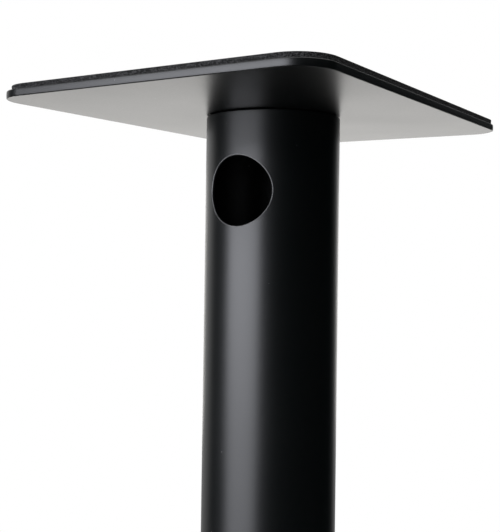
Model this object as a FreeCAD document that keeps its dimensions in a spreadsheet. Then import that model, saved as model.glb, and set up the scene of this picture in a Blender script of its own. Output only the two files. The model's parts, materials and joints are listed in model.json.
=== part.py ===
import FreeCAD, Part
import os
import Sketcher

# A floor stand for a loudspeaker. A flat steel plate with a foam pad sits on a round steel
# column, which has a cable hole near each end of its rear side. The column is screwed to a
# heavier base plate that stands on four levelling spikes.
#
# Millimetres, +Z up. The origin is on the floor under the column's axis. -Y is the front,
# +Y the rear where the cable holes are, and X is across.

# name, value, what it is
SIZES = (
    ("overall_height", 600.0, "floor to the top of the pad"),
    ("plate_width", 197.0, "top plate across, along X"),
    ("plate_depth", 263.0, "top plate front to rear, along Y"),
    ("plate_thickness", 4.0, "top plate"),
    ("plate_corner_radius", 19.5, "top plate's corners seen from above"),
    ("plate_edge_round", 0.5, "top plate's long edges"),
    ("pad_thickness", 3.0, "foam pad on the top plate"),
    ("pad_inset", 1.2, "from the plate's edge to the pad's"),
    ("pad_corner_radius", 20.0, "pad's corners seen from above"),
    ("pad_shift_x", -0.2, "the pad is laid on by hand, a little off centre"),
    ("pad_shift_y", -0.8, "the same, front to rear"),
    ("tube_radius", 40.0, "column, outside"),
    ("tube_wall", 2.0, "column"),
    ("tube_edge_chamfer", 0.3, "column's two ends"),
    ("joint_gap", 0.8, "dark line between each end of the column and its plate"),
    ("cable_hole_radius", 20.0, "holes in the rear of the column"),
    ("cable_hole_edge_round", 0.6, "outer rim of the cable holes"),
    ("upper_hole_drop", 46.0, "top plate's underside to the upper hole's centre"),
    ("lower_hole_rise", 46.0, "base plate's top to the lower hole's centre"),
    ("end_disc_thickness", 10.0, "discs welded into the ends of the column"),
    ("end_disc_fit", 0.05, "radial gap between a disc and the column"),
    ("screw_fit", 0.05, "gap between a screw and its hole"),
    ("screw_sink", 0.2, "a screw's head lies this far below the plate's face"),
    ("screw_end_chamfer", 0.6, "free end of the screws and top of the spikes"),
    ("top_screw_radius", 3.0, "screws through the top plate"),
    ("top_screw_length", 12.0, "head's face to the end"),
    ("top_screw_head_radius", 6.0, "countersunk at 90 degrees"),
    ("top_screw_socket", 4.0, "hexagon across flats"),
    ("top_screw_socket_depth", 2.3, "hexagon"),
    ("top_screw_circle", 25.0, "column's axis to each screw"),
    ("base_screw_radius", 4.0, "screws through the base plate"),
    ("base_screw_length", 16.0, "head's face to the end"),
    ("base_screw_head_radius", 8.0, "countersunk at 90 degrees"),
    ("base_screw_socket", 5.0, "hexagon across flats"),
    ("base_screw_socket_depth", 3.2, "hexagon"),
    ("base_screw_circle", 25.0, "column's axis to each screw"),
    ("base_width", 260.0, "base plate across, along X"),
    ("base_depth", 320.0, "base plate front to rear, along Y"),
    ("base_thickness", 8.0, "base plate"),
    ("base_corner_radius", 20.0, "base plate's corners seen from above"),
    ("base_edge_round", 0.8, "base plate's long edges"),
    ("base_clearance", 28.0, "floor to the base plate's underside"),
    ("spike_inset", 26.0, "base plate's edges to each spike's axis"),
    ("spike_radius", 4.0, "threaded shank of the spikes"),
    ("spike_cone_length", 14.0, "pointed end"),
    ("spike_tip_radius", 0.4, "blunt point"),
    ("spike_top_sink", 1.0, "base plate's top down to a spike's top, as stored"),
    ("spike_fit", 0.05, "radial gap between a spike's shank and its tapped hole"),
    ("spike_socket", 4.0, "hexagon across flats in a spike's top"),
    ("spike_socket_depth", 4.0, "hexagon"),
    ("nut_across_flats", 13.0, "lock nut under the base plate"),
    ("nut_height", 4.0, "lock nut"),
    ("nut_chamfer", 0.75, "height turned off the nut's corners at both faces"),
    ("washer_radius", 8.0, "washer between lock nut and base plate"),
    ("washer_thickness", 1.6, "washer"),
    ("washer_fit", 0.2, "radial gap between the washer and the spike"),
    ("shoe_radius", 11.0, "round floor shoe under each spike"),
    ("shoe_height", 6.0, "floor shoe"),
    ("shoe_edge_round", 1.0, "floor shoe's top edge"),
    ("dimple_depth", 2.5, "the hollow that takes the spike's point, a 90 degree cone"),
    ("dimple_floor_radius", 0.7, "flat bottom of the hollow"),
    ("tip_gap", 0.3, "hollow's bottom to the spike's point"),
)

doc = FreeCAD.newDocument("speaker_stand")
sheet = doc.addObject("Spreadsheet::Sheet", "Sizes")
for row, (alias, number, meaning) in enumerate(SIZES, 1):
    sheet.set(f"A{row}", alias)
    sheet.set(f"B{row}", str(number))
    sheet.set(f"C{row}", meaning)
    sheet.setAlias(f"B{row}", alias)
doc.recompute()

# Heights above the floor that several pieces share, as formulas on the sheet's cells.
PAD_BOTTOM = "(Sizes.overall_height - Sizes.pad_thickness)"
PLATE_BOTTOM = f"({PAD_BOTTOM} - Sizes.plate_thickness)"
BASE_TOP = "(Sizes.base_clearance + Sizes.base_thickness)"
TUBE_BOTTOM = f"({BASE_TOP} + Sizes.joint_gap)"
TUBE_LENGTH = f"({PLATE_BOTTOM} - Sizes.joint_gap - {TUBE_BOTTOM})"
TUBE_BORE = "(Sizes.tube_radius - Sizes.tube_wall)"
SPIKE_TIP = "(Sizes.shoe_height - Sizes.dimple_depth + Sizes.tip_gap)"
SPIKE_LENGTH = f"({BASE_TOP} - Sizes.spike_top_sink - {SPIKE_TIP})"
SPIKE_HOLE = "(Sizes.spike_radius + Sizes.spike_fit)"
WASHER_BOTTOM = "(Sizes.base_clearance - Sizes.washer_thickness)"
SPIKE_X = "(Sizes.base_width / 2 - Sizes.spike_inset)"
SPIKE_Y = "(Sizes.base_depth / 2 - Sizes.spike_inset)"

# Corners of the base plate, seen from above, and the four sides of the column.
CORNERS = ((-1, -1), (1, -1), (1, 1), (-1, 1))
SIDES = ((1, 0), (0, 1), (-1, 0), (0, -1))

# A sketch's own origin and axes, as its constraints count them.
SKETCH_ORIGIN = (-1, 1)
SKETCH_AXES = {"DistanceX": -2, "DistanceY": -1}
NEAR = 1e-4
SPOTS = 9

parts = []


def value(formula):
    """The number that a formula on the sheet's cells gives."""
    return float(sheet.evalExpression(formula))


def new_body(label, x="0", y="0", z="0", upside_down=False):
    """A sub-part whose own origin stands at x, y, z."""
    body = doc.addObject("PartDesign::Body", label)
    body.Label = label
    if upside_down:
        body.Placement.Rotation = FreeCAD.Rotation(FreeCAD.Vector(1, 0, 0), 180)
    for axis, formula in (("x", x), ("y", y), ("z", z)):
        body.setExpression(f"Placement.Base.{axis}", formula)
    parts.append(body)
    return body


def new_sketch(body, role, height="0"):
    """A sketch on one of the body's own origin planes, lifted along the plane's normal."""
    sketch = body.newObject("Sketcher::SketchObject", f"{body.Label}_{role}")
    plane = next(item for item in body.Origin.OriginFeatures if item.Role == role)
    sketch.AttachmentSupport = [(plane, "")]
    sketch.MapMode = "FlatFace"
    sketch.setExpression("AttachmentOffset.Base.z", height)
    return sketch


def size_constraint(sketch, kind, places, formula):
    """A dimension that follows a formula."""
    index = sketch.addConstraint(Sketcher.Constraint(kind, *places, value(formula)))
    sketch.setExpression(f"Constraints[{index}]", formula)


def pin(sketch, line, end, x, y):
    """Holds one end of a line, or a circle's centre, at x, y from the sketch's origin."""
    for kind, formula in (("DistanceX", x), ("DistanceY", y)):
        if formula == "0":
            on_axis = ("PointOnObject", line, end, SKETCH_AXES[kind])
            sketch.addConstraint(Sketcher.Constraint(*on_axis))
        else:
            size_constraint(sketch, kind, (*SKETCH_ORIGIN, line, end), formula)


def add_outline(sketch, points):
    """A closed outline of straight lines through points, each a pair of formulas."""
    vectors = [FreeCAD.Vector(value(x), value(y), 0) for x, y in points]
    lines = [
        sketch.addGeometry(Part.LineSegment(start, end), False)
        for start, end in zip(vectors, vectors[1:] + vectors[:1])
    ]
    for number, (x, y) in enumerate(points):
        before, line = lines[number - 1], lines[number]
        sketch.addConstraint(Sketcher.Constraint("Coincident", before, 2, line, 1))
        pin(sketch, line, 1, x, y)


def add_circle(sketch, radius, x="0", y="0"):
    centre = FreeCAD.Vector(value(x), value(y), 0)
    up = FreeCAD.Vector(0, 0, 1)
    circle = sketch.addGeometry(Part.Circle(centre, up, value(radius)), False)
    pin(sketch, circle, 3, x, y)
    size_constraint(sketch, "Radius", (circle,), radius)


def add_rectangle(sketch, width, depth):
    """A rectangle round the sketch's origin."""
    add_outline(
        sketch,
        [(f"{x} * {width} / 2", f"{y} * {depth} / 2") for x, y in CORNERS],
    )


def add_hexagon(sketch, across_flats):
    """A regular hexagon round the sketch's origin, with two corners on the X axis."""
    far = f"{across_flats} / sqrt(3)"
    near = f"{across_flats} / sqrt(12)"
    half = f"{across_flats} / 2"
    add_outline(
        sketch,
        [
            (far, "0"),
            (near, half),
            (f"-{near}", half),
            (f"-{far}", "0"),
            (f"-{near}", f"-{half}"),
            (near, f"-{half}"),
        ],
    )


def pad_up(body, sketch, length):
    feature = body.newObject("PartDesign::Pad", f"{body.Label}_pad")
    feature.Profile = sketch
    feature.setExpression("Length", length)
    doc.recompute()
    return feature


def turn(body, points):
    """A solid of revolution about Z, from an outline of radius and height."""
    sketch = new_sketch(body, "XZ_Plane")
    add_outline(sketch, points)
    feature = body.newObject("PartDesign::Revolution", f"{body.Label}_turned")
    feature.Profile = sketch
    feature.ReferenceAxis = (sketch, ["V_Axis"])
    feature.Angle = 360.0
    doc.recompute()
    return feature


def remove(body, kind, name, set_up):
    """Adds a cutting feature, and makes sure that it takes something off."""
    before = body.Shape.Volume
    feature = body.newObject(kind, f"{body.Label}_{name}")
    set_up(feature)
    doc.recompute()
    if body.Shape.Volume > before - NEAR:
        raise ValueError(f"{feature.Name} cuts nothing")
    return feature


def cut_pocket(body, sketch, depth, reverse=False, name="pocket"):
    """A pocket of this depth, or through all that lies ahead of the sketch if it is None."""

    def set_up(feature):
        feature.Profile = sketch
        feature.Reversed = reverse
        if depth is None:
            feature.Type = "ThroughAll"
        else:
            feature.setExpression("Length", depth)

    return remove(body, "PartDesign::Pocket", name, set_up)


def cut_groove(body, points):
    """A groove about Z, from an outline of radius and height."""
    sketch = new_sketch(body, "XZ_Plane")
    add_outline(sketch, points)

    def set_up(feature):
        feature.Profile = sketch
        feature.ReferenceAxis = (sketch, ["V_Axis"])
        feature.Angle = 360.0

    return remove(body, "PartDesign::Groove", "groove", set_up)


def edges_where(body, wanted):
    """The names of the edges of the body's solid that a test picks."""
    return [
        f"Edge{number}"
        for number, edge in enumerate(body.Shape.Edges, 1)
        if wanted(edge)
    ]


def dress_edges(body, kind, name, size_property, size, wanted):
    """A fillet or chamfer on the edges that a test picks."""
    base = body.Tip
    names = edges_where(body, wanted)
    feature = body.newObject(kind, f"{body.Label}_{name}")
    feature.Base = (base, names)
    feature.setExpression(size_property, size)
    doc.recompute()
    return feature


def local_heights(body, edge):
    """The lowest and highest height of an edge above the body's own origin."""
    box = edge.BoundBox
    floor = body.Placement.Base.z
    return box.ZMin - floor, box.ZMax - floor


def is_level(body, edge, formula):
    low, high = local_heights(body, edge)
    level = value(formula)
    return abs(low - level) < NEAR and abs(high - level) < NEAR


def rounded_plate(body, width, depth, thickness, corner_radius):
    """A flat plate with upright rounded corners."""
    sketch = new_sketch(body, "XY_Plane")
    add_rectangle(sketch, width, depth)
    pad_up(body, sketch, thickness)

    def upright(edge):
        low, high = local_heights(body, edge)
        return high - low > NEAR

    dress_edges(body, "PartDesign::Fillet", "corners", "Radius", corner_radius, upright)


def round_long_edges(body, thickness, radius):
    """Softens a plate's whole upper and lower outline."""
    limited = f"min({radius}; {thickness} * 0.45)"

    def outline(edge):
        return is_level(body, edge, "0") or is_level(body, edge, thickness)

    dress_edges(body, "PartDesign::Fillet", "edges", "Radius", limited, outline)


def drill(body, sketch, radius, head_radius=None, reverse=False, name="holes"):
    """Round holes through the body at the sketch's circles, countersunk if there is a head."""

    def set_up(feature):
        feature.Profile = sketch
        feature.Reversed = reverse
        feature.DepthType = "ThroughAll"
        feature.setExpression("Diameter", f"2 * {radius}")
        if head_radius:
            feature.HoleCutType = "Countersink"
            feature.HoleCutCustomValues = True
            feature.setExpression("HoleCutDiameter", f"2 * {head_radius}")
            feature.HoleCutCountersinkAngle = 90.0

    return remove(body, "PartDesign::Hole", name, set_up)


def repeat_round(body, feature, count, name):
    """Repeats a cut evenly round the body's own Z axis."""
    before = body.Shape.Volume
    pattern = body.newObject("PartDesign::PolarPattern", f"{body.Label}_{name}")
    pattern.Originals = [feature]
    axis = next(item for item in body.Origin.OriginFeatures if item.Role == "Z_Axis")
    pattern.Axis = (axis, [""])
    pattern.Angle = 360.0
    pattern.Occurrences = count
    body.Tip = pattern
    doc.recompute()
    if body.Shape.Volume > before - NEAR:
        raise ValueError(f"{pattern.Name} repeats nothing")


def drill_screw_circle(body, height, which, head=False, reverse=False):
    """The holes that take the four top or base screws."""
    radius = f"(Sizes.{which}_screw_radius + Sizes.screw_fit)"
    head_radius = f"(Sizes.{which}_screw_head_radius + Sizes.screw_sink + Sizes.screw_fit)"
    sketch = new_sketch(body, "XY_Plane", height)
    add_circle(sketch, radius, f"Sizes.{which}_screw_circle")
    hole = drill(body, sketch, radius, head_radius if head else None, reverse)
    repeat_round(body, hole, len(SIDES), "screw_circle")


def make_top_pad():
    body = new_body("top_pad", "Sizes.pad_shift_x", "Sizes.pad_shift_y", PAD_BOTTOM)
    width = "(Sizes.plate_width - 2 * Sizes.pad_inset)"
    depth = "(Sizes.plate_depth - 2 * Sizes.pad_inset)"
    rounded_plate(body, width, depth, "Sizes.pad_thickness", "Sizes.pad_corner_radius")


def make_top_plate():
    body = new_body("top_plate", z=PLATE_BOTTOM)
    thickness = "Sizes.plate_thickness"
    rounded_plate(
        body, "Sizes.plate_width", "Sizes.plate_depth", thickness, "Sizes.plate_corner_radius"
    )
    round_long_edges(body, thickness, "Sizes.plate_edge_round")
    drill_screw_circle(body, thickness, "top", head=True)


def make_column_tube():
    """The round column, with a cable hole near each end of its rear wall."""
    body = new_body("column_tube", z=TUBE_BOTTOM)
    ring = new_sketch(body, "XY_Plane")
    add_circle(ring, "Sizes.tube_radius")
    add_circle(ring, TUBE_BORE)
    pad_up(body, ring, TUBE_LENGTH)

    def end_rim(edge):
        at_an_end = is_level(body, edge, "0") or is_level(body, edge, TUBE_LENGTH)
        return at_an_end and edge.Length > 2 * value("Sizes.tube_radius")

    chamfer = "min(Sizes.tube_edge_chamfer; Sizes.tube_wall * 0.3)"
    dress_edges(body, "PartDesign::Chamfer", "ends", "Size", chamfer, end_rim)

    holes = new_sketch(body, "XZ_Plane")
    upper = f"({PLATE_BOTTOM} - Sizes.upper_hole_drop - {TUBE_BOTTOM})"
    lower = f"({BASE_TOP} + Sizes.lower_hole_rise - {TUBE_BOTTOM})"
    for height in (lower, upper):
        add_circle(holes, "Sizes.cable_hole_radius", "0", height)
    cut_pocket(body, holes, None, name="cable_holes")

    def outer_rim(edge):
        """Does this edge curve over the column's outside, up and down?"""
        low, high = local_heights(body, edge)
        radius = value("Sizes.tube_radius")
        spots = edge.discretize(SPOTS)
        on_skin = all(abs(spot.x**2 + spot.y**2 - radius**2) < NEAR * radius for spot in spots)
        return on_skin and high - low > NEAR and not isinstance(edge.Curve, Part.Line)

    rounding = "min(Sizes.cable_hole_edge_round; Sizes.tube_wall * 0.45)"
    dress_edges(body, "PartDesign::Fillet", "cable_rims", "Radius", rounding, outer_rim)


def make_end_disc(label, bottom, which):
    """A disc welded into one end of the column, with a tapped hole for each screw."""
    body = new_body(label, z=bottom)
    circle = new_sketch(body, "XY_Plane")
    add_circle(circle, f"({TUBE_BORE} - Sizes.end_disc_fit)")
    pad_up(body, circle, "Sizes.end_disc_thickness")
    drill_screw_circle(body, "Sizes.end_disc_thickness", which)


def make_base_plate():
    body = new_body("base_plate", z="Sizes.base_clearance")
    thickness = "Sizes.base_thickness"
    rounded_plate(
        body, "Sizes.base_width", "Sizes.base_depth", thickness, "Sizes.base_corner_radius"
    )
    round_long_edges(body, thickness, "Sizes.base_edge_round")
    drill_screw_circle(body, "0", "base", head=True, reverse=True)
    spikes = new_sketch(body, "XY_Plane", thickness)
    for x, y in CORNERS:
        add_circle(spikes, SPIKE_HOLE, f"{x} * {SPIKE_X}", f"{y} * {SPIKE_Y}")
    drill(body, spikes, SPIKE_HOLE, name="spike_holes")


def make_screw(label, which, side, height, upside_down):
    """A countersunk screw with a hexagon socket, its head's face at its own origin."""
    circle = f"Sizes.{which}_screw_circle"
    x, y = (f"{number} * {circle}" for number in side)
    body = new_body(label, x, y, height, upside_down)
    shank = f"Sizes.{which}_screw_radius"
    head = f"Sizes.{which}_screw_head_radius"
    length = f"Sizes.{which}_screw_length"
    turn(
        body,
        [
            ("0", "0"),
            (head, "0"),
            (shank, f"({head} - {shank})"),
            (shank, f"({length} - Sizes.screw_end_chamfer)"),
            (f"({shank} - Sizes.screw_end_chamfer)", length),
            ("0", length),
        ],
    )
    socket = new_sketch(body, "XY_Plane")
    add_hexagon(socket, f"Sizes.{which}_screw_socket")
    cut_pocket(body, socket, f"Sizes.{which}_screw_socket_depth", reverse=True, name="socket")


def make_spike(label, x, y):
    """A pointed levelling screw, its tip at its own origin."""
    body = new_body(label, x, y, SPIKE_TIP)
    turn(
        body,
        [
            ("0", "0"),
            ("Sizes.spike_tip_radius", "0"),
            ("Sizes.spike_radius", "Sizes.spike_cone_length"),
            ("Sizes.spike_radius", f"({SPIKE_LENGTH} - Sizes.screw_end_chamfer)"),
            ("(Sizes.spike_radius - Sizes.screw_end_chamfer)", SPIKE_LENGTH),
            ("0", SPIKE_LENGTH),
        ],
    )
    socket = new_sketch(body, "XY_Plane", SPIKE_LENGTH)
    add_hexagon(socket, "Sizes.spike_socket")
    cut_pocket(body, socket, "Sizes.spike_socket_depth", name="socket")


def make_washer(label, x, y):
    body = new_body(label, x, y, WASHER_BOTTOM)
    ring = new_sketch(body, "XY_Plane")
    add_circle(ring, "Sizes.washer_radius")
    add_circle(ring, "(Sizes.spike_radius + Sizes.washer_fit)")
    pad_up(body, ring, "Sizes.washer_thickness")


def make_lock_nut(label, x, y):
    """A thin hexagon nut whose corners are turned off at 30 degrees at both faces."""
    body = new_body(label, x, y, f"({WASHER_BOTTOM} - Sizes.nut_height)")
    hexagon = new_sketch(body, "XY_Plane")
    add_hexagon(hexagon, "Sizes.nut_across_flats")
    add_circle(hexagon, SPIKE_HOLE)
    pad_up(body, hexagon, "Sizes.nut_height")
    outside = "Sizes.nut_across_flats"
    face = f"({outside} / sqrt(3) - Sizes.nut_chamfer / tan(30 deg))"
    drop = f"(({outside} - {face}) * tan(30 deg))"
    rise = f"(Sizes.nut_height - {drop})"
    cut_groove(body, [(face, "0"), (outside, "0"), (outside, drop)])
    cut_groove(body, [(face, "Sizes.nut_height"), (outside, rise), (outside, "Sizes.nut_height")])


def make_floor_shoe(label, x, y):
    """A round metal shoe that keeps a spike's point off the floor."""
    body = new_body(label, x, y)
    hollow_floor = "(Sizes.shoe_height - Sizes.dimple_depth)"
    turn(
        body,
        [
            ("0", "0"),
            ("Sizes.shoe_radius", "0"),
            ("Sizes.shoe_radius", "Sizes.shoe_height"),
            ("(Sizes.dimple_floor_radius + Sizes.dimple_depth)", "Sizes.shoe_height"),
            ("Sizes.dimple_floor_radius", hollow_floor),
            ("0", hollow_floor),
        ],
    )

    def top_rim(edge):
        around = edge.Length > 6 * value("Sizes.shoe_radius")
        return around and is_level(body, edge, "Sizes.shoe_height")

    rounding = "min(Sizes.shoe_edge_round; Sizes.shoe_height * 0.45)"
    dress_edges(body, "PartDesign::Fillet", "rim", "Radius", rounding, top_rim)


def check_and_write():
    """Stops on any failed object or shape, then writes one file for each sub-part."""
    doc.recompute()
    for item in doc.Objects:
        if {"Invalid", "Error"} & set(item.State):
            raise ValueError(f"{item.Name} is {item.State}")
    for body in parts:
        if body.Shape.isNull() or not body.Shape.isValid() or len(body.Shape.Solids) != 1:
            raise ValueError(f"{body.Label} is not one sound solid")
    os.makedirs("parts", exist_ok=True)
    for body in parts:
        body.Shape.exportStep(f"parts/{body.Label}.step")


make_top_pad()
make_top_plate()
make_end_disc("upper_end_disc", f"({PLATE_BOTTOM} - Sizes.end_disc_thickness)", "top")
make_column_tube()
make_end_disc("lower_end_disc", BASE_TOP, "base")
make_base_plate()
for number, side in enumerate(SIDES, 1):
    top_face = f"({PAD_BOTTOM} - Sizes.screw_sink)"
    make_screw(f"top_screw_{number}", "top", side, top_face, upside_down=True)
    bottom_face = "(Sizes.base_clearance + Sizes.screw_sink)"
    make_screw(f"base_screw_{number}", "base", side, bottom_face, upside_down=False)
for number, (x, y) in enumerate(CORNERS, 1):
    spot = (f"{x} * {SPIKE_X}", f"{y} * {SPIKE_Y}")
    make_spike(f"spike_{number}", *spot)
    make_washer(f"spike_washer_{number}", *spot)
    make_lock_nut(f"lock_nut_{number}", *spot)
    make_floor_shoe(f"floor_shoe_{number}", *spot)
check_and_write()
for body in parts:
    print(f"{body.Label}: {body.Shape.Volume:.1f} mm3")
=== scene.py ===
import json
import math

import bmesh
import bpy
from mathutils import Matrix, Vector, noise
from mathutils.geometry import normal as face_normal
from mathutils.geometry import tessellate_polygon


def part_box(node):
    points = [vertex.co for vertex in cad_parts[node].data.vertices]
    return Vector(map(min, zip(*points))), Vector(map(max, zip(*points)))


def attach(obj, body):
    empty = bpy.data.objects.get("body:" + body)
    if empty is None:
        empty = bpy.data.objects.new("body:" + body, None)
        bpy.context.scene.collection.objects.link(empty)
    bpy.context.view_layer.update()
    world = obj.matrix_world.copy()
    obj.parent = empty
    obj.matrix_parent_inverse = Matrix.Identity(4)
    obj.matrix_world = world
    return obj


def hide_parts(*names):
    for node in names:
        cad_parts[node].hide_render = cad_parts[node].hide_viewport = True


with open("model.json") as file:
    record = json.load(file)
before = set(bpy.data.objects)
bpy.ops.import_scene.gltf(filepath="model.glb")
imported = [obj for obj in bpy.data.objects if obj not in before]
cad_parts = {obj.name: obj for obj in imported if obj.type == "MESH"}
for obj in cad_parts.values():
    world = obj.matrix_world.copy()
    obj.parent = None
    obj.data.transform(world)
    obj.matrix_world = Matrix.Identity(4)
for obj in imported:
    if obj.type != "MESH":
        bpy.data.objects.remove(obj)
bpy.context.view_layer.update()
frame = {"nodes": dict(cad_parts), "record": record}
nodes = frame["nodes"]

MM = 0.001
QUARTER = math.pi / 2
UP = Vector((0.0, 0.0, 1.0))
DOWN = -UP
AUTO = Vector((0.0, 0.0, 0.0))  # a corner normal that Blender works out itself


# ---------------------------------------------------------------- camera, as in the photograph

IMAGE_WIDTH = 500
IMAGE_HEIGHT = 532
FOCAL_PIXELS = 884.549
PRINCIPAL_X = 241.305
PRINCIPAL_Y = 230.0
CAMERA_PLACE = (-0.271412, 0.457665, 0.517181)
CAMERA_HEADING = math.radians(-57.360)
CAMERA_PITCH = math.radians(0.8635)
CAMERA_ROLL = math.radians(0.8026)


def make_camera():
    data = bpy.data.cameras.new("camera")
    data.sensor_width = 36.0
    data.lens = FOCAL_PIXELS * data.sensor_width / IMAGE_HEIGHT
    data.shift_x = (IMAGE_WIDTH / 2 - PRINCIPAL_X) / IMAGE_HEIGHT
    data.shift_y = (PRINCIPAL_Y - IMAGE_HEIGHT / 2) / IMAGE_HEIGHT
    data.clip_start = 0.02
    camera = bpy.data.objects.new("camera", data)
    bpy.context.scene.collection.objects.link(camera)
    camera.matrix_world = (
        Matrix.Translation(CAMERA_PLACE)
        @ Matrix.Rotation(CAMERA_HEADING - math.pi / 2, 4, "Z")
        @ Matrix.Rotation(math.pi / 2 + CAMERA_PITCH, 4, "X")
        @ Matrix.Rotation(CAMERA_ROLL, 4, "Z")
    )
    bpy.context.scene.camera = camera


# ---------------------------------------------------------------- node trees


class Nodes:
    """Short calls that lay out one node tree. Most return the new node's output."""

    def __init__(self, tree):
        self.tree = tree

    def add(self, kind, inputs=None, **settings):
        """A new node. An input is a number, a colour, or another node's output."""
        node = self.tree.nodes.new(kind)
        for name, setting in settings.items():
            setattr(node, name, setting)
        for name, source in (inputs or {}).items():
            self.feed(node.inputs[name], source)
        return node

    def feed(self, socket, source):
        if isinstance(source, bpy.types.NodeSocket):
            self.tree.links.new(source, socket)
        else:
            socket.default_value = source

    def math(self, operation, first, second=0.0, third=0.0):
        inputs = {0: first, 1: second, 2: third}
        return self.add("ShaderNodeMath", inputs, operation=operation).outputs[0]

    def length(self, first, second):
        squares = self.math("MULTIPLY_ADD", first, first, self.math("MULTIPLY", second, second))
        return self.math("SQRT", squares)

    def noise(self, place, scale, detail=2.0, roughness=0.5):
        inputs = {"Vector": place, "Scale": scale, "Detail": detail, "Roughness": roughness}
        return self.add("ShaderNodeTexNoise", inputs).outputs["Fac"]

    def smooth_range(self, value, low, high, to_low=0.0, to_high=1.0):
        inputs = {"Value": value, "From Min": low, "From Max": high}
        inputs.update({"To Min": to_low, "To Max": to_high})
        return self.add(
            "ShaderNodeMapRange", inputs, interpolation_type="SMOOTHSTEP"
        ).outputs["Result"]

    def mix_colour(self, factor, first, second):
        node = self.add("ShaderNodeMix", data_type="RGBA")
        self.feed(node.inputs[0], factor)
        self.feed(node.inputs[6], first)
        self.feed(node.inputs[7], second)
        return node.outputs[2]

    def bump(self, height, distance, normal=None):
        inputs = {"Height": height, "Distance": distance, "Strength": 1.0}
        if normal is not None:
            inputs["Normal"] = normal
        return self.add("ShaderNodeBump", inputs).outputs["Normal"]

    def place(self):
        return self.add("ShaderNodeTexCoord").outputs["Object"]

    def parts_of(self, vector):
        split = self.add("ShaderNodeSeparateXYZ", {"Vector": vector})
        return split.outputs["X"], split.outputs["Y"], split.outputs["Z"]


def new_material(name):
    material = bpy.data.materials.new(name)
    material.use_nodes = True
    tree = material.node_tree
    return material, Nodes(tree), tree.nodes["Principled BSDF"]


def grey(level, blue=1.0):
    """An opaque grey, a little bluish where blue is over 1."""
    return (level, level, level * blue, 1.0)


# ---------------------------------------------------------------- studio

KEY_HEADING = math.radians(72.5)
KEY_DISTANCE = 1.405
KEY_TINT = (0.965, 0.98, 1.05)
# lower edge, upper edge, width and brightness of each lamp in the key's stack
KEY_STACK = (
    (-0.50, 0.12, 1.30, 3.1),
    (0.12, 0.41, 1.48, 5.4),
    (0.41, 0.63, 1.48, 9.4),
    (0.85, 1.13, 1.40, 8.8),
)
PLATE_PIECES = ("top_plate_coated", "base_plate_coated")
# the same for the lamps that light the plates alone, and the plates that each one lights
PLATE_STACK = (
    (0.60, 0.85, 1.30, 9.0, PLATE_PIECES[:1]),
    (0.85, 1.13, 1.30, 6.8, PLATE_PIECES),
)
TOP_LAMP_HEIGHT = 2.3
TOP_LAMP_SIDE = 3.2
TOP_LAMP_LEVEL = 1.15
BACK_LAMP_HEADING = math.radians(302.0)
BACK_LAMP_DISTANCE = 1.8
BACK_LAMP_HEIGHT = 0.35
BACK_LAMP_SIZE = (1.9, 0.7)
BACK_LAMP_LEVEL = 1.47
BACK_LAMP_TINT = (1.0, 0.98, 0.94)
BACKDROP_HEADING = math.radians(312.5)
BACKDROP_HALF_SPAN = math.radians(47.5)
BACKDROP_EDGE = math.radians(8.0)
BACKDROP_LEVELS = (0.95, 0.80)  # up to its middle, and from the next angle beyond it
BACKDROP_SHADED_FROM = math.radians(26.0)
# its top, the sweep's bottom and the ceiling's rise are upright parts of a direction, up to 1
BACKDROP_TOP = (0.55, 0.80)
SWEEP_BOTTOM = -0.42
SWEEP_LEVEL = 0.38  # the backdrop's share of light there, rising to 1 at the horizon
CEILING_RISE = (0.35, 0.90)
CEILING_LEVEL = 0.12
ROOM_DARK = (0.002, 0.006, 0.007, 1.0)
ROOM_FILL = 0.3  # what matt surfaces receive from the room
FLOOR_RADIUS = 1.3
FLOOR_STEPS = 96
FLOOR_LEVEL = 0.86
FLOOR_FADE = (0.20, 0.38)  # the floor fades out between these distances, in light and reflections
FLOOR_FADE_SEEN = (0.45, 0.98)  # the same to the camera


def make_world():
    """White to the camera. In reflections it is a white backdrop on one side of a dark room."""
    world = bpy.data.worlds.new("studio")
    world.use_nodes = True
    bpy.context.scene.world = world
    tree = world.node_tree
    tree.nodes.clear()
    kit = Nodes(tree)
    direction = kit.add("ShaderNodeTexCoord").outputs["Generated"]
    x, y, z = kit.parts_of(direction)
    ahead = (math.cos(BACKDROP_HEADING), math.sin(BACKDROP_HEADING))
    along = kit.math("MULTIPLY_ADD", x, ahead[0], kit.math("MULTIPLY", y, ahead[1]))
    aside = kit.math("MULTIPLY_ADD", x, -ahead[1], kit.math("MULTIPLY", y, ahead[0]))
    turned = kit.math("ARCTAN2", aside, along)
    nearest = BACKDROP_HALF_SPAN - BACKDROP_EDGE
    furthest = BACKDROP_HALF_SPAN + BACKDROP_EDGE
    inside = kit.smooth_range(kit.math("ABSOLUTE", turned), nearest, furthest, 1.0, 0.0)
    shade = kit.smooth_range(turned, 0.0, BACKDROP_SHADED_FROM, *BACKDROP_LEVELS)
    sweep = kit.smooth_range(z, SWEEP_BOTTOM, 0.0, SWEEP_LEVEL, 1.0)
    above = kit.smooth_range(z, *BACKDROP_TOP, 1.0, 0.0)
    backdrop = kit.math("MULTIPLY", inside, above)
    level = kit.math("MULTIPLY", shade, sweep)
    channels = {channel: level for channel in ("Red", "Green", "Blue")}
    white = kit.add("ShaderNodeCombineColor", channels)
    ceiling = kit.smooth_range(z, *CEILING_RISE)
    dark = kit.mix_colour(ceiling, ROOM_DARK, grey(CEILING_LEVEL))
    room = kit.mix_colour(backdrop, dark, white.outputs[0])
    path = kit.add("ShaderNodeLightPath").outputs
    seen = kit.math("MAXIMUM", path["Is Glossy Ray"], path["Is Transmission Ray"])
    colour = kit.mix_colour(seen, grey(ROOM_FILL), room)
    colour = kit.mix_colour(path["Is Camera Ray"], colour, grey(1.0))
    background = kit.add("ShaderNodeBackground", {"Color": colour, "Strength": 1.0})
    output = kit.add("ShaderNodeOutputWorld")
    tree.links.new(background.outputs[0], output.inputs["Surface"])


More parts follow.
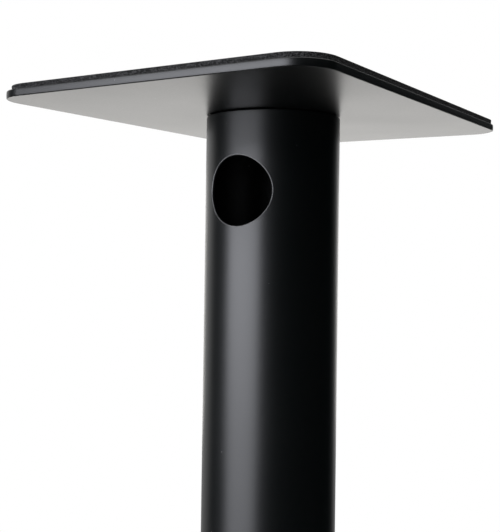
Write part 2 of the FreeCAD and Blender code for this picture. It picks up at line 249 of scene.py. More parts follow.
def make_softbox(name, place, target, width, height, level, colour=(1.0, 1.0, 1.0)):
    """A rectangular lamp whose face has the given brightness, 1 being white."""
    data = bpy.data.lights.new(name, "AREA")
    data.shape = "RECTANGLE"
    data.size = width
    data.size_y = height
    data.energy = level * math.pi * width * height
    data.color = colour
    lamp = bpy.data.objects.new(name, data)
    bpy.context.scene.collection.objects.link(lamp)
    facing = (Vector(target) - Vector(place)).to_track_quat("-Z", "Y")
    lamp.matrix_world = Matrix.Translation(place) @ facing.to_matrix().to_4x4()
    lamp.visible_camera = False
    return lamp


def make_key_lamp(name, low, high, width, level, lit):
    """A lamp of the key's stack. Flags keep its light off all but the given objects."""
    middle = (low + high) / 2
    x = KEY_DISTANCE * math.cos(KEY_HEADING)
    y = KEY_DISTANCE * math.sin(KEY_HEADING)
    target = (0.0, 0.0, middle)
    lamp = make_softbox(name, (x, y, middle), target, width, high - low, level, KEY_TINT)
    receivers = bpy.data.collections.new(name)
    for piece in lit:
        receivers.objects.link(piece)
    lamp.light_linking.receiver_collection = receivers


def make_lamps():
    """A tall key that the flat plates don't mirror, their own lamps, a top lamp and a back lamp."""
    meshes = [thing for thing in bpy.data.objects if thing.type == "MESH"]
    others = [mesh for mesh in meshes if mesh.name not in PLATE_PIECES]
    for number, row in enumerate(KEY_STACK, 1):
        make_key_lamp(f"key_softbox_{number}", *row, others)
    for number, (*row, names) in enumerate(PLATE_STACK, 1):
        plates = [mesh for mesh in meshes if mesh.name in names]
        make_key_lamp(f"plate_softbox_{number}", *row, plates)
    place = (0.0, 0.0, TOP_LAMP_HEIGHT)
    target = (0.0, 0.0, 0.0)
    make_softbox("top_softbox", place, target, TOP_LAMP_SIDE, TOP_LAMP_SIDE, TOP_LAMP_LEVEL)
    x = BACK_LAMP_DISTANCE * math.cos(BACK_LAMP_HEADING)
    y = BACK_LAMP_DISTANCE * math.sin(BACK_LAMP_HEADING)
    place = (x, y, BACK_LAMP_HEIGHT)
    target = (0.0, 0.0, BACK_LAMP_HEIGHT)
    make_softbox("back_softbox", place, target, *BACK_LAMP_SIZE, BACK_LAMP_LEVEL, BACK_LAMP_TINT)


def make_floor():
    """A pale round floor that fades into the white background, out of the photograph's view."""
    mesh = bpy.data.meshes.new("floor")
    form = bmesh.new()
    bmesh.ops.create_circle(form, cap_ends=True, segments=FLOOR_STEPS, radius=FLOOR_RADIUS)
    form.to_mesh(mesh)
    form.free()
    floor = bpy.data.objects.new("floor", mesh)
    bpy.context.scene.collection.objects.link(floor)
    material, kit, shader = new_material("floor_pale")
    shader.inputs["Base Color"].default_value = grey(FLOOR_LEVEL)
    shader.inputs["Roughness"].default_value = 0.7
    shader.inputs["Specular IOR Level"].default_value = 0.2
    x, y, _ = kit.parts_of(kit.place())
    distance = kit.length(x, y)
    seen = kit.add("ShaderNodeLightPath").outputs["Is Camera Ray"]
    near, far = (
        kit.math("MULTIPLY_ADD", seen, to_camera - otherwise, otherwise)
        for to_camera, otherwise in zip(FLOOR_FADE_SEEN, FLOOR_FADE)
    )
    fade = kit.smooth_range(distance, near, far)
    clear = kit.add("ShaderNodeBsdfTransparent").outputs[0]
    mixed = kit.add("ShaderNodeMixShader", {0: fade, 1: shader.outputs[0], 2: clear})
    output = kit.tree.nodes["Material Output"]
    kit.tree.links.new(mixed.outputs[0], output.inputs["Surface"])
    mesh.materials.append(material)


# ---------------------------------------------------------------- materials

# scales count waves or cells per metre, and reliefs are heights
COAT_DARK = (0.0006, 0.0010, 0.0011, 1.0)
COAT_LIGHT = (0.0012, 0.0017, 0.0018, 1.0)
COAT_CLOUD_SCALE = 14.0
COAT_PEEL_SCALE = 260.0
COAT_PEEL_RELIEF = 0.010 * MM
COAT_GRAIN_SCALE = 700.0
COAT_GRAIN_RELIEF = 0.002 * MM
COAT_ROUGHNESS = 0.30
# painted highlight: a light grey line painted on the rounded rims of the cable holes, uneven along
# them
RIM_HIGHLIGHT_LEVEL = 0.11
RIM_HIGHLIGHT_SCALE = 150.0
RIM_HIGHLIGHT_REACH = (0.1 * MM, 0.3 * MM)  # full up to the first distance, gone past the second
DUST_SCALE = 260.0
DUST_RADIUS = (0.03, 0.09)  # as a share of a cell, with a soft edge between the two
DUST_RARITY = (0.955, 0.970)  # only cells whose random tone is above these hold a speck
DUST_LEVEL = 0.45
FOAM_DARK = 0.0012
FOAM_LIGHT = 0.042
FOAM_BLUE = 1.02
FOAM_CELL_SCALE = 2100.0
FOAM_CELL_RELIEF = 0.10 * MM
FOAM_GRAIN_SCALE = 1250.0
FOAM_GRAIN_RELIEF = 0.16 * MM
FOAM_CLOUD_SCALE = 40.0
FOAM_TONES = (0.515, 0.725)  # the mixed noise that gives the dark and the light foam
METAL_CLOUD_SCALE = 180.0
METAL_UNEVEN_GLOSS = 0.16
LATHE_RING_SCALE = 5000.0
LATHE_RELIEF = 0.004 * MM
# the discs' black overspray, made matt so the gap between tube and plate renders dark: partly a real
# coat, partly painted shade
OVERSPRAY_AND_GAP_SHADE_LEVEL = 0.0025
OVERSPRAY_AND_GAP_SHADE_DEPTH = (0.8 * MM, 0.3 * MM)  # it starts this deep in the tube's ends, and is full here


def painted_rim_highlight(kit, place):
    """1 on the rounded rims of the cable holes, where a light grey painted highlight goes, and 0
    elsewhere.
    """
    x, y, z = kit.parts_of(place)
    rim = CABLE_HOLE_RADIUS + CABLE_HOLE_ROUND / 2
    highlight_mask = 0.0
    for middle in CABLE_HOLE_HEIGHTS:
        distance = kit.length(x, kit.math("SUBTRACT", z, middle))
        off = kit.math("ABSOLUTE", kit.math("SUBTRACT", distance, rim))
        highlight_mask = kit.math("MAXIMUM", highlight_mask, kit.smooth_range(off, *RIM_HIGHLIGHT_REACH, 1.0, 0.0))
    uneven = kit.smooth_range(kit.noise(place, RIM_HIGHLIGHT_SCALE), 0.35, 0.6, 0.5, 1.0)
    rear = kit.math("GREATER_THAN", y, 0.0)
    return kit.math("MULTIPLY", highlight_mask, kit.math("MULTIPLY", uneven, rear))


def powder_coat():
    """Black satin powder coat: faint orange peel, uneven gloss, a few specks of dust, a painted rim
    highlight.
    """
    material, kit, shader = new_material("black_powder_coat")
    place = kit.place()
    cloud = kit.noise(place, COAT_CLOUD_SCALE, 3.0)
    grain = kit.noise(place, COAT_GRAIN_SCALE, 2.0)
    peel = kit.noise(place, COAT_PEEL_SCALE, 3.0, 0.6)
    coat = kit.mix_colour(cloud, COAT_DARK, COAT_LIGHT)
    spots = kit.add("ShaderNodeTexVoronoi", {"Vector": place, "Scale": DUST_SCALE}).outputs
    tone = kit.parts_of(spots["Color"])[0]
    dust = kit.math(
        "MULTIPLY",
        kit.smooth_range(spots["Distance"], *DUST_RADIUS, 1.0, 0.0),
        kit.smooth_range(tone, *DUST_RARITY),
    )
    # painted highlight: the cable holes' rims are made light grey
    coat = kit.mix_colour(painted_rim_highlight(kit, place), coat, grey(RIM_HIGHLIGHT_LEVEL))
    colour = kit.mix_colour(dust, coat, grey(DUST_LEVEL))
    rough = kit.math("MULTIPLY_ADD", cloud, 0.04, COAT_ROUGHNESS)
    rough = kit.math("MULTIPLY_ADD", grain, 0.04, rough)
    rough = kit.math("MULTIPLY_ADD", dust, 0.3, rough)
    kit.feed(shader.inputs["Base Color"], colour)
    kit.feed(shader.inputs["Roughness"], rough)
    normal = kit.bump(peel, COAT_PEEL_RELIEF)
    normal = kit.bump(grain, COAT_GRAIN_RELIEF, normal)
    kit.feed(shader.inputs["Normal"], normal)
    return material


def foam():
    """Dark closed-cell foam: matt, with a fine open grain."""
    material, kit, shader = new_material("foam_pad")
    place = kit.place()
    inputs = {"Vector": place, "Scale": FOAM_CELL_SCALE}
    cells = kit.add("ShaderNodeTexVoronoi", inputs).outputs["Distance"]
    grain = kit.noise(place, FOAM_GRAIN_SCALE, 3.0, 0.65)
    cloud = kit.noise(place, FOAM_CLOUD_SCALE, 3.0)
    tone = kit.math("MULTIPLY_ADD", grain, 0.8, kit.math("MULTIPLY", cells, 0.3))
    tone = kit.math("MULTIPLY_ADD", cloud, 0.06, tone)
    light = kit.smooth_range(tone, *FOAM_TONES)
    colour = kit.mix_colour(light, grey(FOAM_DARK), grey(FOAM_LIGHT, FOAM_BLUE))
    kit.feed(shader.inputs["Base Color"], colour)
    shader.inputs["Roughness"].default_value = 0.92
    shader.inputs["Specular IOR Level"].default_value = 0.2
    normal = kit.bump(grain, FOAM_GRAIN_RELIEF)
    normal = kit.bump(cells, FOAM_CELL_RELIEF, normal)
    kit.feed(shader.inputs["Normal"], normal)
    return material


def metal(name, dark, light, roughness, grain_scale, relief):
    """A metal with a mottled tone, uneven gloss and a fine grain."""
    material, kit, shader = new_material(name)
    place = kit.place()
    cloud = kit.noise(place, METAL_CLOUD_SCALE, 4.0, 0.6)
    grain = kit.noise(place, grain_scale, 3.0)
    smoothest = roughness - METAL_UNEVEN_GLOSS / 2
    rough = kit.math("MULTIPLY_ADD", cloud, METAL_UNEVEN_GLOSS, smoothest)
    kit.feed(shader.inputs["Base Color"], kit.mix_colour(cloud, dark, light))
    kit.feed(shader.inputs["Roughness"], rough)
    kit.feed(shader.inputs["Normal"], kit.bump(grain, relief))
    shader.inputs["Metallic"].default_value = 1.0
    return material, kit, shader


def turned_metal(name, dark, light, roughness):
    """A metal with the fine rings that a lathe leaves, round the axis of each foot."""
    material, kit, shader = metal(name, dark, light, roughness, 1500.0, LATHE_RELIEF)
    x, y, z = kit.parts_of(kit.place())
    across = kit.math("SUBTRACT", kit.math("ABSOLUTE", x), SPIKE_X)
    along = kit.math("SUBTRACT", kit.math("ABSOLUTE", y), SPIKE_Y)
    line = kit.add("ShaderNodeCombineXYZ", {"X": kit.length(across, along), "Z": z}).outputs[0]
    rings = kit.noise(line, LATHE_RING_SCALE, 2.0)
    first = shader.inputs["Normal"].links[0].from_socket
    kit.feed(shader.inputs["Normal"], kit.bump(rings, LATHE_RELIEF, first))
    return material


def steel_with_gap_shade():
    """Bare steel discs, matt black where their rims show between tube and plate: overspray, and
    painted shade in that gap.
    """
    light = (0.42, 0.41, 0.40, 1.0)
    material, kit, shader = metal("bare_steel", grey(0.30), light, 0.42, 900.0, 0.010 * MM)
    height = kit.parts_of(kit.place())[2]
    low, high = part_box("column_tube")
    middle = (low.z + high.z) / 2
    starts, full = ((high.z - low.z) / 2 - depth for depth in OVERSPRAY_AND_GAP_SHADE_DEPTH)
    beyond = kit.math("ABSOLUTE", kit.math("SUBTRACT", height, middle))
    # painted shade: matt black on the discs' rims in the gap between tube and plate, over a real
    # overspray
    overspray_shade = kit.smooth_range(beyond, starts, full)
    steel = shader.inputs["Base Color"].links[0].from_socket
    kit.feed(shader.inputs["Base Color"], kit.mix_colour(overspray_shade, steel, grey(OVERSPRAY_AND_GAP_SHADE_LEVEL)))
    kit.feed(shader.inputs["Metallic"], kit.math("SUBTRACT", 1.0, overspray_shade))
    shader.inputs["Specular IOR Level"].default_value = 0.0  # the overspray is matt, which paints shade into the gap
    return material


def make_materials():
    """The materials by the name of their slot."""
    oxide = (grey(0.03, 1.06), grey(0.06, 1.1))
    zinc = ((0.55, 0.56, 0.57, 1.0), (0.68, 0.69, 0.70, 1.0))
    return {
        "black_powder_coat": powder_coat(),
        "foam_pad": foam(),
        "bare_steel": steel_with_gap_shade(),
        "black_oxide_steel": metal("black_oxide_steel", *oxide, 0.4, 1200.0, 0.010 * MM)[0],
        "zinc_steel": metal("zinc_steel", *zinc, 0.34, 1500.0, 0.006 * MM)[0],
        "spike_steel": turned_metal("spike_steel", grey(0.50), (0.62, 0.62, 0.61, 1.0), 0.28),
        "shoe_steel": turned_metal("shoe_steel", grey(0.52), grey(0.62), 0.30),
    }


def dress_nodes(materials):
    """Gives every CAD node the material of its slot in the record."""
    for row in frame["record"]["subparts"]:
        mesh = nodes[row["node"]].data
        mesh.materials.clear()
        mesh.materials.append(materials[row["material_slot"]])


# ---------------------------------------------------------------- meshes with exact normals


class Shell:
    """A skin laid face by face. Each corner is a place and the way the surface faces there."""

    def __init__(self):
        self.numbers = {}
        self.places = []
        self.faces = []
        self.normals = []

    def number(self, place):
        """The number of the point at a place. Corners that fall together share it."""
        key = tuple(round(value, 7) for value in place)
        if key not in self.numbers:
            self.numbers[key] = len(self.places)
            self.places.append(Vector(place))
        return self.numbers[key]

    def face(self, corners):
        """One face, turned so that its front is the side that its corners face."""
        ring = {}
        for place, facing in corners:
            ring.setdefault(self.number(place), facing)
        if len(ring) < 3:
            return
        order = list(ring)
        front = face_normal([self.places[number] for number in order])
        if front.dot(sum(ring.values(), Vector((0.0, 0.0, 0.0)))) < 0:
            order.reverse()
        self.faces.append(order)
        self.normals.extend(ring[number] for number in order)

    def sheet(self, rows, closed=True):
        """Joins neighbouring rows of corners with four-sided faces."""
        for lower, upper in zip(rows, rows[1:]):
            for i in range(len(lower) if closed else len(lower) - 1):
                j = (i + 1) % len(lower)
                self.face([lower[i], lower[j], upper[j], upper[i]])

    def flat(self, loops, facing):
        """Fills a level face between its outline and the holes in it."""
        places = [place for loop in loops for place in loop]
        for triangle in tessellate_polygon(loops):
            self.face([(places[number], facing) for number in triangle])

    def sweep(self, path, profile):
        """Carries a profile round a path, and returns its rows of corners."""
        rows = [row_of(path, *entry) for entry in profile]
        self.sheet(rows)
        return rows


def row_of(path, out, height, tilt=0.0):
    """The corners that one profile entry makes round a path."""
    row = []
    for centre_x, centre_y, x, y in path:
        place = Vector((centre_x + x * out, centre_y + y * out, height))
        level = math.cos(tilt)
        row.append((place, Vector((x * level, y * level, math.sin(tilt)))))
    return row


def loop_of(path, out, height):
    """The places of such a row alone."""
    return [place for place, facing in row_of(path, out, height)]


def ring_path(x, y, steps):
    """A path round an upright axis."""
    angles = (2 * math.pi * step / steps for step in range(steps))
    return [(x, y, math.cos(angle), math.sin(angle)) for angle in angles]


def plate_path(half_x, half_y, corner, steps=24):
    """A path round a rectangle with rounded corners. Its distance out counts from their centres."""
    path = []
    for quarter, (x, y) in enumerate(((1, 1), (-1, 1), (-1, -1), (1, -1))):
        centre = (x * (half_x - corner), y * (half_y - corner))
        for step in range(steps + 1):
            angle = QUARTER * (quarter + step / steps)
            path.append((*centre, math.cos(angle), math.sin(angle)))
    return path


def run(*points):
    """Profile entries for flat runs from one (out, height) point to the next."""
    entries = []
    for (out, height), (next_out, next_height) in zip(points, points[1:]):
        tilt = math.atan2(out - next_out, next_height - height)
        entries += [(out, height, tilt), (next_out, next_height, tilt)]
    return entries


def arc(out, height, radius, first, last, steps=6):
    """Profile entries for a rounding about the point (out, height), between two tilts."""
    entries = []
    for step in range(steps + 1):
        tilt = first + (last - first) * step / steps
        entries.append((out + radius * math.cos(tilt), height + radius * math.sin(tilt), tilt))
    return entries


def make_piece(name, shell, material, body, slot, *replaced):
    """The shell as an object that rides on a body and stands for CAD nodes."""
    mesh = bpy.data.meshes.new(name)
    mesh.from_pydata(shell.places, [], shell.faces)
    mesh.polygons.foreach_set("use_smooth", [True] * len(shell.faces))
    mesh.update()
    mesh.normals_split_custom_set(shell.normals)
    mesh.materials.append(material)
    piece = bpy.data.objects.new(name, mesh)
    bpy.context.scene.collection.objects.link(piece)
    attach(piece, body)
    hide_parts(*replaced)
    return piece


# ---------------------------------------------------------------- column

COLUMN_RADIUS = 40.0 * MM
BORE_RADIUS = 38.0 * MM
COLUMN_CHAMFER = 0.3 * MM
COLUMN_STEPS = 192
CABLE_HOLE_RADIUS = 20.0 * MM
CABLE_HOLE_HEIGHTS = (82.0 * MM, 547.0 * MM)
CABLE_HOLE_ROUND = 0.6 * MM
RIM_MIDDLE_RADIUS = COLUMN_RADIUS - CABLE_HOLE_ROUND  # where the rims' roundings have their middle
RIM_MIDDLE_REACH = CABLE_HOLE_RADIUS + CABLE_HOLE_ROUND  # and how far that is from the hole's axis
PATCH_REACH = 24  # columns of faces to each side of a hole
PATCH_HALF_HEIGHT = 28.0 * MM
PATCH_ROWS = 32
PATCH_RINGS = (0.0, 0.06, 0.16, 0.33, 0.62, 1.0)
LIP_STEPS = 6
COLUMN_TURN = 2 * math.pi / COLUMN_STEPS


def on_column(radius, turn, height, way):
    """A corner on an upright round wall. A turn of 0 is the rear, and way is 1 for its outside."""
    facing = Vector((math.sin(turn), math.cos(turn), 0.0))
    return (facing * radius + UP * height, facing * way)


def patch_heights(middle):
    """The heights of a patch's rows, about the hole's axis."""
    step = 2 * PATCH_HALF_HEIGHT / PATCH_ROWS
    return [middle - PATCH_HALF_HEIGHT + step * row for row in range(PATCH_ROWS + 1)]


def patch_border(middle):
    """The (turn, height) places round a patch's border, in order."""
    heights = patch_heights(middle)
    turns = [COLUMN_TURN * step for step in range(-PATCH_REACH, PATCH_REACH + 1)]
    border = [(turn, heights[0]) for turn in turns[:-1]]
    border += [(turns[-1], height) for height in heights[:-1]]
    border += [(turn, heights[-1]) for turn in turns[:0:-1]]
    border += [(turns[0], height) for height in heights[:0:-1]]
    return border


def ray_angles(middle):
    """The angle round the hole's axis of the ray to each place of the border."""
    return [
        math.atan2(height - middle, turn * COLUMN_RADIUS) for turn, height in patch_border(middle)
    ]


def column_wall(shell, radius, bottom, top, way, hole_edges):
    """A wall with a square gap round each hole, filled by rays of faces from border to hole."""
    heights = [bottom]
    for middle in CABLE_HOLE_HEIGHTS:
        heights += patch_heights(middle)
    heights.append(top)
    for low, high in zip(heights, heights[1:]):
        beside_hole = any(
            abs((low + high) / 2 - middle) < PATCH_HALF_HEIGHT for middle in CABLE_HOLE_HEIGHTS
        )
        first = PATCH_REACH if beside_hole else -PATCH_REACH
        for column in range(first, COLUMN_STEPS - PATCH_REACH):
            turns = (COLUMN_TURN * column, COLUMN_TURN * (column + 1))
            shell.face(
                [
                    on_column(radius, turns[0], low, way),
                    on_column(radius, turns[1], low, way),
                    on_column(radius, turns[1], high, way),
                    on_column(radius, turns[0], high, way),
                ]
            )
    for middle, hole_edge in zip(CABLE_HOLE_HEIGHTS, hole_edges):
        rings = []
        for share in PATCH_RINGS:
            ring = []
            for (turn, height), (far_turn, far_height) in zip(hole_edge, patch_border(middle)):
                here = turn + (far_turn - turn) * share
                ring.append(on_column(radius, here, height + (far_height - height) * share, way))
            rings.append(ring)
        shell.sheet(rings)


def hole_edge_on(radius, hole_radius, middle):
    """Where rays from the hole's axis meet the wall, as (turn, height) places."""
    edge = []
    for angle in ray_angles(middle):
        x = hole_radius * math.cos(angle)
        y = math.sqrt(radius**2 - x**2)
        edge.append((math.atan2(x, y), middle + hole_radius * math.sin(angle)))
    return edge


def hole_wall(shell, middle, bore_edge):
    """The rounded outer rim of one hole and its wall, out to the bore."""
    rows = [[] for step in range(LIP_STEPS + 2)]
    for angle, (turn, height) in zip(ray_angles(middle), bore_edge):
        x = RIM_MIDDLE_REACH * math.cos(angle)
        y = math.sqrt(RIM_MIDDLE_RADIUS**2 - x**2)
        centre = Vector((x, y, middle + RIM_MIDDLE_REACH * math.sin(angle)))
        outward = Vector((centre.x, centre.y, 0.0)).normalized()
        inward = Vector((-math.cos(angle), 0.0, -math.sin(angle)))
        for step in range(LIP_STEPS + 1):
            facing = outward.slerp(inward, step / LIP_STEPS)
            rows[step].append((centre + facing * CABLE_HOLE_ROUND, facing))
        rows[-1].append((on_column(BORE_RADIUS, turn, height, 1)[0], inward))
    shell.sheet(rows)


def column_end(shell, height, way):
    """One end of the tube. Its chamfers are shaded as roundings, and way is 1 for its top."""
    inner = height - way * COLUMN_CHAMFER
    levels = (
        (COLUMN_RADIUS, inner, 1, None),
        (COLUMN_RADIUS - COLUMN_CHAMFER, height, 1, UP * way),
        (BORE_RADIUS + COLUMN_CHAMFER, height, 1, UP * way),
        (BORE_RADIUS, inner, -1, None),
    )
    rows = []
    for radius, level, side, facing in levels:
        row = []
        for column in range(COLUMN_STEPS):
            place, outward = on_column(radius, COLUMN_TURN * column, level, side)
            row.append((place, outward if facing is None else facing))
        rows.append(row)
    shell.sheet(rows)


def make_column(materials):
    """The coated tube with its two cable holes."""
    low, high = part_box("column_tube")
    shell = Shell()
    outer_edges = []
    bore_edges = []
    for middle in CABLE_HOLE_HEIGHTS:
        outer_edges.append(hole_edge_on(RIM_MIDDLE_RADIUS, RIM_MIDDLE_REACH, middle))
        bore_edges.append(hole_edge_on(BORE_RADIUS, CABLE_HOLE_RADIUS, middle))
    bottom = low.z + COLUMN_CHAMFER
    top = high.z - COLUMN_CHAMFER
    column_wall(shell, COLUMN_RADIUS, bottom, top, 1, outer_edges)
    column_wall(shell, BORE_RADIUS, bottom, top, -1, bore_edges)
    for middle, bore_edge in zip(CABLE_HOLE_HEIGHTS, bore_edges):
        hole_wall(shell, middle, bore_edge)
    column_end(shell, high.z, 1)
    column_end(shell, low.z, -1)
    slot = "black_powder_coat"
    make_piece("column", shell, materials[slot], "stand", slot, "column_tube")


# ---------------------------------------------------------------- plates

TOP_PLATE_CORNER = 19.5 * MM
TOP_PLATE_EDGE = 0.5 * MM
TOP_HOLE_RADIUS = 3.05 * MM
TOP_HEAD_RADIUS = 6.25 * MM
BASE_PLATE_CORNER = 20.0 * MM
BASE_PLATE_EDGE = 0.8 * MM
BASE_HOLE_RADIUS = 4.05 * MM
BASE_HEAD_RADIUS = 8.25 * MM
HOLE_STEPS = 48
EDGE_CROWN = math.radians(4.5)  # a cut edge bulges: the way it faces turns by this to each side
SCREW_CIRCLE = 25.0 * MM
SCREW_PLACES = ((SCREW_CIRCLE, 0.0), (0.0, SCREW_CIRCLE), (-SCREW_CIRCLE, 0.0), (0.0, -SCREW_CIRCLE))
SPIKE_X = 104.0 * MM
SPIKE_Y = 134.0 * MM
SPIKE_PLACES = ((-SPIKE_X, -SPIKE_Y), (SPIKE_X, -SPIKE_Y), (SPIKE_X, SPIKE_Y), (-SPIKE_X, SPIKE_Y))


def plate_shell(node, corner, edge, holes):
    """A plate with rounded corners and edges. A hole is its centre and the points down its wall."""
    low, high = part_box(node)
    path = plate_path(high.x, high.y, corner)
    shell = Shell()
    half = (high.z - low.z) / 2 - edge * (1 - math.sin(EDGE_CROWN))
    crown = half / math.sin(EDGE_CROWN)
    middle = (low.z + high.z) / 2
    out = corner - crown * (1 - math.cos(EDGE_CROWN)) - edge * math.cos(EDGE_CROWN)
    rise = edge * math.sin(EDGE_CROWN)
    profile = arc(out, middle - half + rise, edge, -QUARTER, -EDGE_CROWN)
    profile += arc(corner - crown, middle, crown, -EDGE_CROWN, EDGE_CROWN)
    profile += arc(out, middle + half - rise, edge, EDGE_CROWN, QUARTER)
    rows = shell.sweep(path, profile)
    below = [[place for place, facing in rows[0]]]
    above = [[place for place, facing in rows[-1]]]
    for (x, y), points in holes:
        ring = ring_path(x, y, HOLE_STEPS)
        shell.sweep(ring, run(*points))
        above.append(loop_of(ring, *points[0]))
        below.append(loop_of(ring, *points[-1]))
    shell.flat(above, UP)
    shell.flat(below, DOWN)
    return shell


def make_plates(materials):
    """The top plate, countersunk from above, and the base plate, countersunk from below."""
    slot = "black_powder_coat"
    low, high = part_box("top_plate")
    seat = high.z - (TOP_HEAD_RADIUS - TOP_HOLE_RADIUS)
    points = ((TOP_HEAD_RADIUS, high.z), (TOP_HOLE_RADIUS, seat), (TOP_HOLE_RADIUS, low.z))
    holes = [(place, points) for place in SCREW_PLACES]
    shell = plate_shell("top_plate", TOP_PLATE_CORNER, TOP_PLATE_EDGE, holes)
    make_piece("top_plate_coated", shell, materials[slot], "stand", slot, "top_plate")
    low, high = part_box("base_plate")
    seat = low.z + (BASE_HEAD_RADIUS - BASE_HOLE_RADIUS)
    points = ((BASE_HOLE_RADIUS, high.z), (BASE_HOLE_RADIUS, seat), (BASE_HEAD_RADIUS, low.z))
    holes = [(place, points) for place in SCREW_PLACES]
    points = ((BASE_HOLE_RADIUS, high.z), (BASE_HOLE_RADIUS, low.z))
    holes += [(place, points) for place in SPIKE_PLACES]
    shell = plate_shell("base_plate", BASE_PLATE_CORNER, BASE_PLATE_EDGE, holes)
    make_piece("base_plate_coated", shell, materials[slot], "stand", slot, "base_plate")


# ---------------------------------------------------------------- pad

PAD_CORNER = 20.0 * MM
PAD_CORNER_STEPS = 16
PAD_STRAIGHT_STEPS = 36
# inset in millimetres and share of the thickness, up the cut edge
PAD_PROFILE = (
    (0.90, 0.00),
    (0.12, 0.01),
    (0.00, 0.06),
    (0.05, 0.25),
    (0.12, 0.50),
    (0.05, 0.76),
    (0.00, 0.93),
    (0.05, 0.985),
    (0.22, 1.00),
    (0.90, 1.00),
)
PAD_EDGE_WAVE = 0.08 * MM
PAD_EDGE_WAVE_SCALE = 90.0
PAD_TOP_WAVE = 0.10 * MM
PAD_TOP_WAVE_SCALE = 60.0
PAD_SHARES = (0.96, 0.85, 0.7, 0.5, 0.3, 0.12, 0.0)  # of the way out, for the rows on the flats


def pad_path(low, high):
    """The pad's outline with its straight edges divided as well."""
    middle_x = (low.x + high.x) / 2
    middle_y = (low.y + high.y) / 2
    half_x = (high.x - low.x) / 2
    half_y = (high.y - low.y) / 2
    corners = plate_path(half_x, half_y, PAD_CORNER, PAD_CORNER_STEPS)
    path = []
    for first, second in zip(corners, corners[1:] + corners[:1]):
        steps = PAD_STRAIGHT_STEPS if first[:2] != second[:2] else 1
        for step in range(steps):
            share = step / steps
            entry = [one + (other - one) * share for one, other in zip(first, second)]
            path.append((entry[0] + middle_x, entry[1] + middle_y, entry[2], entry[3]))
    return path


def wave_at(place, scale):
    """A smooth uneven height from 0 to 1, the same in each run."""
    return 0.5 + 0.5 * noise.noise(place * scale)


def make_pad(materials):
    """A die-cut foam pad: soft edges, a slightly hollow cut face and a slightly uneven top."""
    low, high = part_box("top_pad")
    path = pad_path(low, high)
    middle = Vector(((low.x + high.x) / 2, (low.y + high.y) / 2, 0.0))
    thickness = high.z - low.z
    rows = []
    for inset, share in PAD_PROFILE:
        height = low.z + thickness * share
        row = []
        for place, facing in row_of(path, PAD_CORNER - inset * MM, height):
            wave = wave_at(place, PAD_EDGE_WAVE_SCALE) if 0.0 < share < 1.0 else 0.0
            row.append((place - facing * wave * PAD_EDGE_WAVE, AUTO))
        rows.append(row)
    below = rows[0]
    above = rows[-1]
    for share in PAD_SHARES:
        upper = []
        lower = []
        for (top_place, _), (bottom_place, _) in zip(above, below):
            place = middle + (top_place - middle) * share
            place.z = high.z - PAD_TOP_WAVE * wave_at(place, PAD_TOP_WAVE_SCALE)
            upper.append((place, AUTO))
            place = middle + (bottom_place - middle) * share
            lower.append((Vector((place.x, place.y, low.z)), AUTO))
        rows.append(upper)
        rows.insert(0, lower)
    shell = Shell()
    shell.sheet(rows)
    slot = "foam_pad"
    piece = make_piece("foam_top_pad", shell, materials[slot], "stand", slot, "top_pad")


# ---------------------------------------------------------------- feet

TURN_STEPS = 96
THREAD_STEPS = 48
THREAD_PITCH = 1.25 * MM
THREAD_DEPTH = 0.62 * MM
THREAD_ROWS = 12
SPIKE_RADIUS = 4.0 * MM
SPIKE_TIP_RADIUS = 0.4 * MM
SPIKE_CONE_LENGTH = 14.0 * MM
SPIKE_CHAMFER = 0.6 * MM
SOCKET_FLATS = 4.0 * MM
SOCKET_DEPTH = 4.0 * MM
SHOE_RADIUS = 11.0 * MM
SHOE_ROUND = 1.0 * MM
SHOE_FOOT_ROUND = 0.3 * MM
DIMPLE_DEPTH = 2.5 * MM
DIMPLE_FLOOR = 0.7 * MM
WASHER_FIT = 0.2 * MM
WASHER_ROUND = 0.2 * MM


def thread_rows(x, y, bottom, top):
    """Rows that climb with the thread, cut off level at both ends, where the thread runs out."""
    rows = []
    turns = (top - bottom) / THREAD_PITCH + 1
    for number in range(math.ceil(turns * THREAD_ROWS) + 1):
        row = []
        phase = number / THREAD_ROWS
        groove = 0.5 - 0.5 * math.cos(2 * math.pi * phase)
        for step in range(THREAD_STEPS + 1):
            angle = 2 * math.pi * step / THREAD_STEPS
            height = bottom + THREAD_PITCH * (phase - 1 + step / THREAD_STEPS)
            height = min(max(height, bottom), top)
            fade = min(1.0, (height - bottom) / THREAD_PITCH, (top - height) / THREAD_PITCH)
            radius = SPIKE_RADIUS - THREAD_DEPTH * groove * fade
            place = Vector((x + radius * math.cos(angle), y + radius * math.sin(angle), height))
            row.append((place, AUTO))
        rows.append(row)
    return rows


def hexagon_loop(x, y, flats, height):
    """The corners of a level hexagon, from its width across flats."""
    corner = flats / math.sqrt(3)
    angles = (math.radians(60 * step) for step in range(6))
    return [
        Vector((x + corner * math.cos(angle), y + corner * math.sin(angle), height))
        for angle in angles
    ]


def spike_shell(x, y, bottom, top):
    """A point, a thread up to a chamfer, and a hexagon socket in the top."""
    shell = Shell()
    ring = ring_path(x, y, THREAD_STEPS)
    shoulder = bottom + SPIKE_CONE_LENGTH
    shell.sweep(ring, run((0.0, bottom), (SPIKE_TIP_RADIUS, bottom), (SPIKE_RADIUS, shoulder)))
    shell.sheet(thread_rows(x, y, shoulder, top - SPIKE_CHAMFER), closed=False)
    rim = SPIKE_RADIUS - SPIKE_CHAMFER
    shell.sweep(ring, run((SPIKE_RADIUS, top - SPIKE_CHAMFER), (rim, top)))
    mouth = hexagon_loop(x, y, SOCKET_FLATS, top)
    floor = hexagon_loop(x, y, SOCKET_FLATS, top - SOCKET_DEPTH)
    shell.flat([loop_of(ring, rim, top), mouth], UP)
    for side in range(6):
        ahead = (side + 1) % 6
        angle = math.radians(30 + 60 * side)
        facing = Vector((-math.cos(angle), -math.sin(angle), 0.0))
        corners = (mouth[side], mouth[ahead], floor[ahead], floor[side])
        shell.face([(place, facing) for place in corners])
    shell.flat([floor], UP)
    return shell


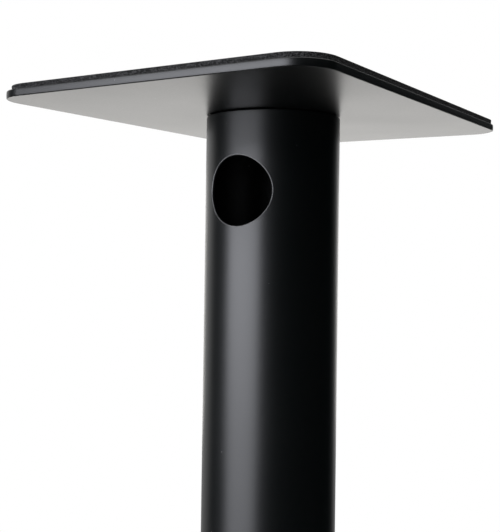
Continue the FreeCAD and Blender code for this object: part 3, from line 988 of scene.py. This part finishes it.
def shoe_shell(x, y, top):
    """A turned shoe with rounded rims, and a hollow for the spike's point."""
    shell = Shell()
    inner = SHOE_RADIUS - SHOE_ROUND
    foot = SHOE_RADIUS - SHOE_FOOT_ROUND
    hollow_floor = top - DIMPLE_DEPTH
    profile = run((0.0, 0.0), (foot, 0.0))
    profile += arc(foot, SHOE_FOOT_ROUND, SHOE_FOOT_ROUND, -QUARTER, 0.0)
    profile += arc(inner, top - SHOE_ROUND, SHOE_ROUND, 0.0, QUARTER)
    profile += run(
        (inner, top),
        (DIMPLE_FLOOR + DIMPLE_DEPTH, top),
        (DIMPLE_FLOOR, hollow_floor),
        (0.0, hollow_floor),
    )
    shell.sweep(ring_path(x, y, TURN_STEPS), profile)
    return shell


def washer_shell(x, y, low, high):
    """A stamped washer with rounded outer rims."""
    shell = Shell()
    outer = high.x - x
    hole = SPIKE_RADIUS + WASHER_FIT
    profile = run((hole, low.z), (outer - WASHER_ROUND, low.z))
    profile += arc(outer - WASHER_ROUND, low.z + WASHER_ROUND, WASHER_ROUND, -QUARTER, 0.0)
    profile += arc(outer - WASHER_ROUND, high.z - WASHER_ROUND, WASHER_ROUND, 0.0, QUARTER)
    profile += run((outer - WASHER_ROUND, high.z), (hole, high.z), (hole, low.z))
    shell.sweep(ring_path(x, y, TURN_STEPS), profile)
    return shell


def make_feet(materials):
    """Each foot's spike, washer and shoe, every one on the body of its own name."""
    for number, (x, y) in enumerate(SPIKE_PLACES, 1):
        low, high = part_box(f"spike_{number}")
        spike = spike_shell(x, y, low.z, high.z)
        washer = washer_shell(x, y, *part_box(f"spike_washer_{number}"))
        shoe = shoe_shell(x, y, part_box(f"floor_shoe_{number}")[1].z)
        rows = (
            ("threaded_spike", spike, "spike", "spike_steel"),
            ("round_washer", washer, "spike_washer", "zinc_steel"),
            ("turned_shoe", shoe, "floor_shoe", "shoe_steel"),
        )
        for name, shell, kind, slot in rows:
            part = f"{kind}_{number}"
            make_piece(f"{name}_{number}", shell, materials[slot], part, slot, part)


bpy.context.scene.view_settings.view_transform = "Standard"
make_camera()
make_world()
make_floor()
materials = make_materials()
dress_nodes(materials)
make_column(materials)
make_plates(materials)
make_pad(materials)
make_feet(materials)
make_lamps()
